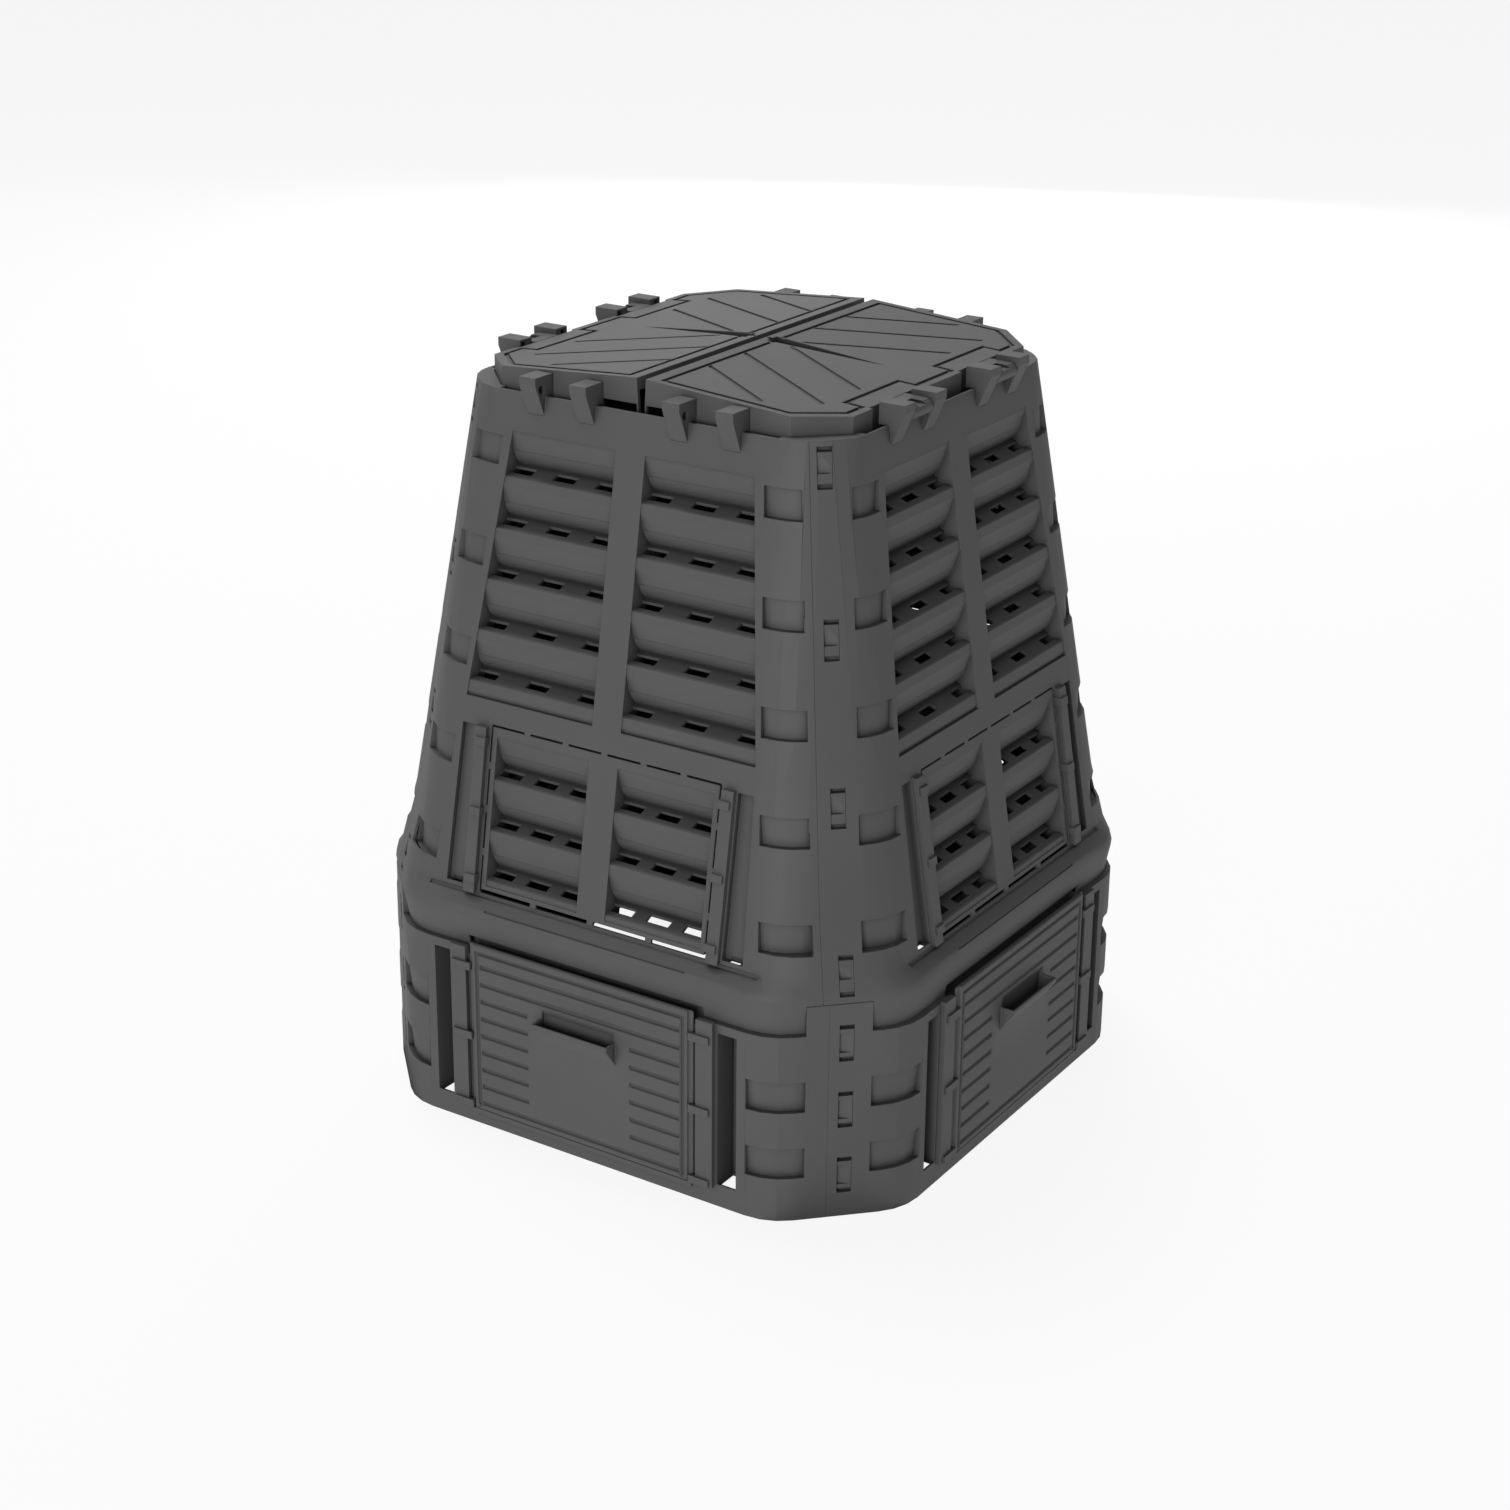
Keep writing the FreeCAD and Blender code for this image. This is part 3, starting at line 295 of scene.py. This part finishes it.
def finish_piece(piece, body, material=None):
    """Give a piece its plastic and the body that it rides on."""
    piece.data.materials.clear()
    piece.data.materials.append(material or moulded_polypropylene())
    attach(piece, body)


# Louvres

def louvre_tree():
    """Curved slat faces and rolled lips of one window, one below the other down a leaning wall."""
    tree = bpy.data.node_groups.new("Louvre slats", "GeometryNodeTree")
    sockets = {}
    for name, kind in (("Slats", "NodeSocketInt"), ("Pitch", "NodeSocketFloat"),
                       ("First Lip", "NodeSocketFloat"), ("First Half", "NodeSocketFloat"),
                       ("Slope", "NodeSocketFloat"), ("Mullion", "NodeSocketFloat"),
                       ("Low", "NodeSocketFloat"), ("Low Edge", "NodeSocketFloat"),
                       ("Edge Lean", "NodeSocketFloat"), ("Skin", "NodeSocketFloat"),
                       ("Last Share", "NodeSocketFloat"), ("Material", "NodeSocketMaterial")):
        sockets[name] = tree.interface.new_socket(name, in_out="INPUT", socket_type=kind).identifier
    tree.interface.new_socket("Geometry", in_out="OUTPUT", socket_type="NodeSocketGeometry")
    given = add_node(tree, "NodeGroupInput").outputs
    unit_width = add_node(tree, "ShaderNodeCombineXYZ", inputs={"X": 1.0}).outputs[0]
    thickness = add_node(tree, "ShaderNodeCombineXYZ", inputs={"Y": given["Skin"]}).outputs[0]

    def arc(steps, start, middle, end):
        """A curve in the wall's upright plane; each point is depth and rise from the lip in mm."""
        points = [(0.0, depth * MM, rise * MM) for depth, rise in (start, middle, end)]
        return add_node(tree, "GeometryNodeCurveQuadraticBezier", inputs={
            "Resolution": steps, "Start": points[0], "Middle": points[1], "End": points[2]}).outputs[0]

    def slab(curve):
        """Sweep a curve over the unit width and give it the skin's thickness."""
        line = add_node(tree, "GeometryNodeCurveToMesh", inputs={"Curve": curve}).outputs[0]
        line = add_node(tree, "GeometryNodeMergeByDistance", inputs={"Geometry": line}).outputs[0]
        sheet = add_node(tree, "GeometryNodeExtrudeMesh", {"mode": "EDGES"}, {
            "Mesh": line, "Offset": unit_width}).outputs[0]
        inner = add_node(tree, "GeometryNodeExtrudeMesh", {"mode": "FACES"}, {
            "Mesh": sheet, "Offset": thickness, "Individual": False}).outputs[0]
        outer = add_node(tree, "GeometryNodeFlipFaces", inputs={"Mesh": sheet}).outputs[0]
        both = add_node(tree, "GeometryNodeJoinGeometry", inputs={0: [inner, outer]}).outputs[0]
        return add_node(tree, "GeometryNodeMergeByDistance", inputs={"Geometry": both}).outputs[0]

    lean = add_node(tree, "ShaderNodeCombineXYZ", inputs={"Y": given["Slope"], "Z": 1.0}).outputs[0]
    down = add_node(tree, "ShaderNodeMath", {"operation": "MULTIPLY"}, {
        0: given["Pitch"], 1: -1.0}).outputs[0]
    step = add_node(tree, "ShaderNodeVectorMath", {"operation": "SCALE"}, {
        0: lean, "Scale": down}).outputs[0]
    depth = add_node(tree, "ShaderNodeMath", {"operation": "MULTIPLY"}, {
        0: given["First Half"], 1: -1.0}).outputs[0]
    first = add_node(tree, "ShaderNodeCombineXYZ", inputs={"Y": depth, "Z": given["First Lip"]}).outputs[0]

    def row(shape, index, count):
        """Instances of a shape at count slat places from an index on."""
        shift = add_node(tree, "ShaderNodeVectorMath", {"operation": "SCALE"}, {
            0: step, "Scale": index}).outputs[0]
        start = add_node(tree, "ShaderNodeVectorMath", {"operation": "ADD"}, {
            0: first, 1: shift}).outputs[0]
        line = add_node(tree, "GeometryNodeMeshLine", {"mode": "OFFSET"}, {
            "Count": count, "Start Location": start, "Offset": step}).outputs[0]
        return add_node(tree, "GeometryNodeInstanceOnPoints", inputs={
            "Points": line, "Instance": shape}).outputs[0]

    # A slat's face runs from below its lip to behind the next shelf. The first slat has no lip of its
    # own, and the last one is cut off by the window's bottom edge.
    lip_foot = (1.2, -2.0)
    face = arc(12, lip_foot, (1.2, -46.0), (22.0, -54.0))
    lip = arc(5, (5.0, 1.6), (1.2, 0.4), lip_foot)
    short = add_node(tree, "GeometryNodeTrimCurve", {"mode": "FACTOR"}, {
        "Curve": face, "End": given["Last Share"]}).outputs[0]
    lipped, lipped_short = (add_node(tree, "GeometryNodeJoinGeometry", inputs={
        0: [lip, curve]}).outputs[0] for curve in (face, short))
    last, between = (add_node(tree, "ShaderNodeMath", {"operation": "SUBTRACT"}, {
        0: given["Slats"], 1: ends}).outputs[0] for ends in (1.0, 2.0))
    rows = add_node(tree, "GeometryNodeJoinGeometry", inputs={
        0: [row(slab(face), 0.0, 1), row(slab(lipped), 1.0, between), row(slab(lipped_short), last, 1)],
    }).outputs[0]
    solid = add_node(tree, "GeometryNodeRealizeInstances", inputs={"Geometry": rows}).outputs[0]

    # The unit width is spread from the mullion to the window's outer edge at each level.
    place = add_node(tree, "ShaderNodeSeparateXYZ", inputs={
        0: add_node(tree, "GeometryNodeInputPosition").outputs[0]}).outputs
    below = add_node(tree, "ShaderNodeMath", {"operation": "SUBTRACT"}, {
        0: given["Low"], 1: place["Z"]}).outputs[0]
    edge = add_node(tree, "ShaderNodeMath", {"operation": "MULTIPLY_ADD"}, {
        0: below, 1: given["Edge Lean"], 2: given["Low Edge"]}).outputs[0]
    across = add_node(tree, "ShaderNodeMapRange", inputs={
        "Value": place["X"], "To Min": given["Mullion"], "To Max": edge}).outputs[0]
    moved = add_node(tree, "ShaderNodeCombineXYZ", inputs={
        "X": across, "Y": place["Y"], "Z": place["Z"]}).outputs[0]
    spread = add_node(tree, "GeometryNodeSetPosition", inputs={
        "Geometry": solid, "Position": moved}).outputs[0]
    painted = add_node(tree, "GeometryNodeSetMaterial", inputs={
        "Geometry": spread, "Material": given["Material"]}).outputs[0]
    add_node(tree, "NodeGroupOutput", inputs={"Geometry": painted})
    return tree, sockets


def window_mesh(tree, sockets, window):
    """Plain mesh of one window's slats, on the right-hand side of the front wall."""
    louvre = bpy.context.scene.compost_louvre
    values = {
        "Slats": window.slats, "Pitch": louvre.pitch, "First Lip": window.first_lip,
        "First Half": louvre.foot_half - louvre.slope * (window.first_lip - louvre.foot_level),
        "Slope": louvre.slope, "Mullion": louvre.mullion, "Low": window.low,
        "Low Edge": window.low_edge,
        "Edge Lean": (window.low_edge - window.top_edge) / (window.top - window.low),
        "Skin": louvre.skin, "Last Share": window.last_share, "Material": slat_polypropylene(),
    }
    carrier = link_object("window_carrier", bpy.data.meshes.new("window_carrier"))
    modifier = carrier.modifiers.new("Louvres", "NODES")
    modifier.node_group = tree
    for name, value in values.items():
        modifier[sockets[name]] = value
    applied(carrier)
    mesh = carrier.data
    bpy.data.objects.remove(carrier)
    return mesh


def joined_mesh(name, meshes, turns):
    """One mesh from copies of the meshes at each turn, with outward normals."""
    form = bmesh.new()
    for mesh in meshes:
        for turn in turns:
            copy = mesh.copy()
            copy.transform(turn)
            if turn.determinant() < 0:
                copy.flip_normals()
            form.from_mesh(copy)
            bpy.data.meshes.remove(copy)
    bmesh.ops.recalc_face_normals(form, faces=form.faces)
    result = bpy.data.meshes.new(name)
    form.to_mesh(result)
    form.free()
    return result


# Rim

def deck_mesh(rim):
    """The deck that closes one corner between the rim's rounded bevel and the lid's bevel.

    Its outline goes round the rim, whose blend has three facets, and comes back along the lid.
    """
    proud = 0.4 * MM
    facets = 3
    bevel = math.pi / 4
    flat = rim.corner - rim.blend * math.tan(bevel / 2)
    turns = [bevel * step / facets for step in range(facets + 1)]
    outer = [(flat + rim.blend * math.sin(turn),
              rim.half - proud - rim.blend * (1 - math.cos(turn))) for turn in turns]
    inner_half = rim.lid_half + rim.gap
    inner_corner = rim.lid_corner + rim.gap * math.tan(bevel / 2)
    inner = [(flat, inner_half), (inner_corner, inner_half)]
    outline = outer + [(y, x) for x, y in reversed(outer)]
    outline += [(y, x) for x, y in inner] + inner[::-1]
    form = bmesh.new()
    face = form.faces.new([form.verts.new((x, y, rim.level + proud)) for x, y in outline])
    added = bmesh.ops.extrude_face_region(form, geom=[face])["geom"]
    lowered = [item for item in added if isinstance(item, bmesh.types.BMVert)]
    bmesh.ops.translate(form, verts=lowered, vec=(0, 0, -rim.deck))
    bmesh.ops.recalc_face_normals(form, faces=form.faces)
    mesh = bpy.data.meshes.new("corner_deck")
    form.to_mesh(mesh)
    form.free()
    return mesh


# Studio

def by_ray(tree, lighting, mirrored, shown):
    """One value for the rays that light the object, one for reflections and one for the camera."""
    path = add_node(tree, "ShaderNodeLightPath").outputs
    value = lighting
    for kind, other in (("Is Glossy Ray", mirrored), ("Is Transmission Ray", shown),
                        ("Is Camera Ray", shown)):
        value = add_node(tree, "ShaderNodeMix", {"data_type": "FLOAT"}, {
            0: path[kind], 2: value, 3: other}).outputs[0]
    return value


def make_floor(studio):
    """A near-white floor that keeps the bin's shadow and lights the bin from below.

    Inside the bin's own footprint it gives no light.
    """
    reach = 14.0
    footprint = 0.39
    mesh = bpy.data.meshes.new("studio_floor")
    mesh.from_pydata([(-reach, -reach, 0), (reach, -reach, 0), (reach, reach, 0), (-reach, reach, 0)], [],
                     [(0, 1, 2, 3)])
    material = bpy.data.materials.new("painted_studio_floor")
    material.use_nodes = True
    tree = material.node_tree
    tree.nodes.clear()
    paint = add_node(tree, "ShaderNodeBsdfDiffuse", inputs={"Color": linear("F2F2F2")})
    place = add_node(tree, "ShaderNodeSeparateXYZ", inputs={
        0: add_node(tree, "ShaderNodeNewGeometry").outputs["Position"]}).outputs
    inside = [add_node(tree, "ShaderNodeMath", {"operation": "COMPARE"}, {
        0: place[axis], 1: 0.0, 2: footprint}).outputs[0] for axis in ("X", "Y")]
    under_bin = add_node(tree, "ShaderNodeMath", {"operation": "MULTIPLY"}, {
        0: inside[0], 1: inside[1]}).outputs[0]
    open_floor = add_node(tree, "ShaderNodeMath", {"operation": "SUBTRACT"}, {
        0: 1.0, 1: under_bin}).outputs[0]
    given, mirrored = (add_node(tree, "ShaderNodeMath", {"operation": "MULTIPLY"}, {
        0: open_floor, 1: strength}).outputs[0] for strength in (studio.bounce, studio.shine))
    glow = add_node(tree, "ShaderNodeEmission", inputs={
        "Color": (1, 1, 1, 1), "Strength": by_ray(tree, given, mirrored, 1.0)})
    # Half paint and half glow as light, all glow in reflections, and a tenth of paint to the camera,
    # which carries the shadow.
    mix = add_node(tree, "ShaderNodeMixShader", inputs={
        0: by_ray(tree, 0.5, 1.0, 0.9), 1: paint.outputs[0], 2: glow.outputs[0]})
    add_node(tree, "ShaderNodeOutputMaterial", inputs={"Surface": mix.outputs[0]})
    mesh.materials.append(material)
    link_object("studio_floor", mesh)


def make_world(studio):
    """Even white all round: dim as light, brighter in reflections and full white to the camera."""
    world = bpy.data.worlds.new("studio_world")
    world.use_nodes = True
    tree = world.node_tree
    tree.nodes.clear()
    light = add_node(tree, "ShaderNodeBackground", inputs={
        "Color": (1, 1, 1, 1), "Strength": by_ray(tree, studio.world, studio.sheen, 1.0)})
    add_node(tree, "ShaderNodeOutputWorld", inputs={"Surface": light.outputs[0]})
    bpy.context.scene.world = world


def soft_lamp(name, power, place, mirrored=True):
    """A round softbox that faces the middle of the bin."""
    lamp = bpy.data.lights.new(name, "AREA")
    lamp.shape = "DISK"
    lamp.size = 3.0
    lamp.energy = power
    holder = bpy.data.objects.new(name, lamp)
    holder.location = place
    holder.visible_glossy = mirrored
    holder.rotation_mode = "QUATERNION"
    holder.rotation_quaternion = (Vector((0, 0, 0.5)) - place).to_track_quat("-Z", "Y")
    bpy.context.scene.collection.objects.link(holder)


def make_camera(scene, studio):
    """The camera at its place round the bin, rolled about its own view."""
    flat = math.cos(studio.elevation)
    back = Vector((math.sin(studio.azimuth) * flat, -math.cos(studio.azimuth) * flat,
                   math.sin(studio.elevation)))
    right = Vector((0, 0, 1)).cross(back).normalized()
    up = back.cross(right)
    turn = Matrix.Rotation(studio.roll, 3, back)
    camera = bpy.data.cameras.new("studio_camera")
    camera.lens = studio.lens
    camera.sensor_width = 36.0
    camera.shift_x = studio.shift_x
    camera.shift_y = studio.shift_y
    holder = bpy.data.objects.new("studio_camera", camera)
    axes = Matrix((turn @ right, turn @ up, back)).transposed()
    place = Vector((0, 0, studio.look_at)) + back * studio.distance
    holder.matrix_world = Matrix.Translation(place) @ axes.to_4x4()
    scene.collection.objects.link(holder)
    scene.camera = holder


# Operators

class COMPOST_OT_base_walls(bpy.types.Operator):
    """Dress the four walls of the base ring"""
    bl_idname = "compost.base_walls"
    bl_label = "Base walls"

    def execute(self, context):
        for side in SIDES:
            dressed("base_wall_" + side, "bin")
        return {"FINISHED"}


class COMPOST_OT_base_doors(bpy.types.Operator):
    """Dress the sliding doors of the base ring"""
    bl_idname = "compost.base_doors"
    bl_label = "Base doors"

    def execute(self, context):
        for side in SIDES:
            dressed("base_door_" + side, "door_" + side, context.scene.compost_plastic.door_edge)
        return {"FINISHED"}


class COMPOST_OT_upper_walls(bpy.types.Operator):
    """Dress the four tapered walls"""
    bl_idname = "compost.upper_walls"
    bl_label = "Tapered walls"

    def execute(self, context):
        for side in SIDES:
            dressed("upper_wall_" + side, "bin")
        return {"FINISHED"}


class COMPOST_OT_louvres(bpy.types.Operator):
    """Lay the curved slat faces and rolled lips in the windows of the tapered walls"""
    bl_idname = "compost.louvres"
    bl_label = "Louvre slats"

    def execute(self, context):
        scene = context.scene
        tree, sockets = louvre_tree()
        meshes = [window_mesh(tree, sockets, window)
                  for window in (scene.compost_main_window, scene.compost_hatch_window)]
        mirror = Matrix.Scale(-1, 4, Vector((1, 0, 0)))
        for index, side in enumerate(SIDES):
            turn = Matrix.Rotation(math.pi / 2 * index, 4, "Z")
            mesh = joined_mesh("louvre_slats_" + side, meshes, (turn, turn @ mirror))
            shade(mesh)
            finish_piece(link_object("louvre_slats_" + side, mesh), "bin", slat_polypropylene())
        for mesh in meshes:
            bpy.data.meshes.remove(mesh)
        return {"FINISHED"}


class COMPOST_OT_corner_decks(bpy.types.Operator):
    """Close the four corners between the rim and the lid's bevels"""
    bl_idname = "compost.corner_decks"
    bl_label = "Corner decks"

    def execute(self, context):
        corner = deck_mesh(context.scene.compost_rim)
        turns = [Matrix.Rotation(math.pi / 2 * index, 4, "Z") for index in range(4)]
        mesh = joined_mesh("rim_corner_decks", [corner], turns)
        bpy.data.meshes.remove(corner)
        shade(mesh)
        piece = link_object("rim_corner_decks", mesh)
        rounded(piece, context.scene.compost_plastic.edge)
        finish_piece(piece, "bin")
        return {"FINISHED"}


class COMPOST_OT_lid(bpy.types.Operator):
    """Dress the two leaves of the lid"""
    bl_idname = "compost.lid"
    bl_label = "Lid leaves"

    def execute(self, context):
        for side in ("right", "left"):
            dressed("lid_leaf_" + side, "lid_" + side)
        return {"FINISHED"}


class COMPOST_OT_stage(bpy.types.Operator):
    """Set up the pale floor, the soft lamps, the white world and the camera"""
    bl_idname = "compost.stage"
    bl_label = "Studio"

    def execute(self, context):
        studio = context.scene.compost_studio
        make_floor(studio)
        make_world(studio)
        soft_lamp("key_lamp", studio.key, Vector((-2.2, 0.9, 6.7)))
        soft_lamp("fill_lamp", studio.fill, Vector((-3.0, -5.5, 1.2)))
        soft_lamp("front_lamp", studio.front, Vector((1.6, -6.0, 1.5)))
        soft_lamp("rear_lamp", studio.rear, Vector((-3.5, 5.0, 1.6)))
        soft_lamp("back_lamp", studio.back, Vector((-2.5, 5.5, 1.6)), mirrored=False)
        make_camera(context.scene, studio)
        context.scene.view_settings.view_transform = "Standard"
        return {"FINISHED"}


OPERATORS = (COMPOST_OT_base_walls, COMPOST_OT_base_doors, COMPOST_OT_upper_walls, COMPOST_OT_louvres,
             COMPOST_OT_corner_decks, COMPOST_OT_lid, COMPOST_OT_stage)


class COMPOST_PT_panel(bpy.types.Panel):
    """Lists the bin's pieces and their settings"""
    bl_idname = "COMPOST_PT_panel"
    bl_label = "Compost Bin"
    bl_space_type = "VIEW_3D"
    bl_region_type = "UI"
    bl_category = "Compost Bin"

    def draw(self, context):
        for operator in OPERATORS:
            self.layout.operator(operator.bl_idname)
        for name in SETTINGS:
            settings = getattr(context.scene, name)
            box = self.layout.box()
            for key in settings.bl_rna.properties.keys()[2:]:
                box.prop(settings, key)


CLASSES = ((PlasticSettings, LouvreSettings, RimSettings, WindowSettings, StudioSettings)
           + OPERATORS + (COMPOST_PT_panel,))
SETTINGS = {
    "compost_plastic": PlasticSettings,
    "compost_louvre": LouvreSettings,
    "compost_rim": RimSettings,
    "compost_main_window": WindowSettings,
    "compost_hatch_window": WindowSettings,
    "compost_studio": StudioSettings,
}


def set_hatch_window(hatch):
    """Sizes of the small windows in the knock-out hatch, whose sides are upright."""
    hatch.low = 0.323
    hatch.top = 0.511
    hatch.low_edge = hatch.top_edge = 0.160
    hatch.first_lip = 0.5209
    hatch.slats = 4
    hatch.last_share = 0.15


def register():
    for item in CLASSES:
        bpy.utils.register_class(item)
    for name, settings in SETTINGS.items():
        setattr(bpy.types.Scene, name, PointerProperty(type=settings))


def unregister():
    for name in SETTINGS:
        delattr(bpy.types.Scene, name)
    for item in reversed(CLASSES):
        bpy.utils.unregister_class(item)


def main():
    register()
    set_hatch_window(bpy.context.scene.compost_hatch_window)
    bpy.ops.compost.base_walls()
    bpy.ops.compost.base_doors()
    bpy.ops.compost.upper_walls()
    bpy.ops.compost.louvres()
    bpy.ops.compost.corner_decks()
    bpy.ops.compost.lid()
    bpy.ops.compost.stage()


if __name__ == "__main__":
    main()
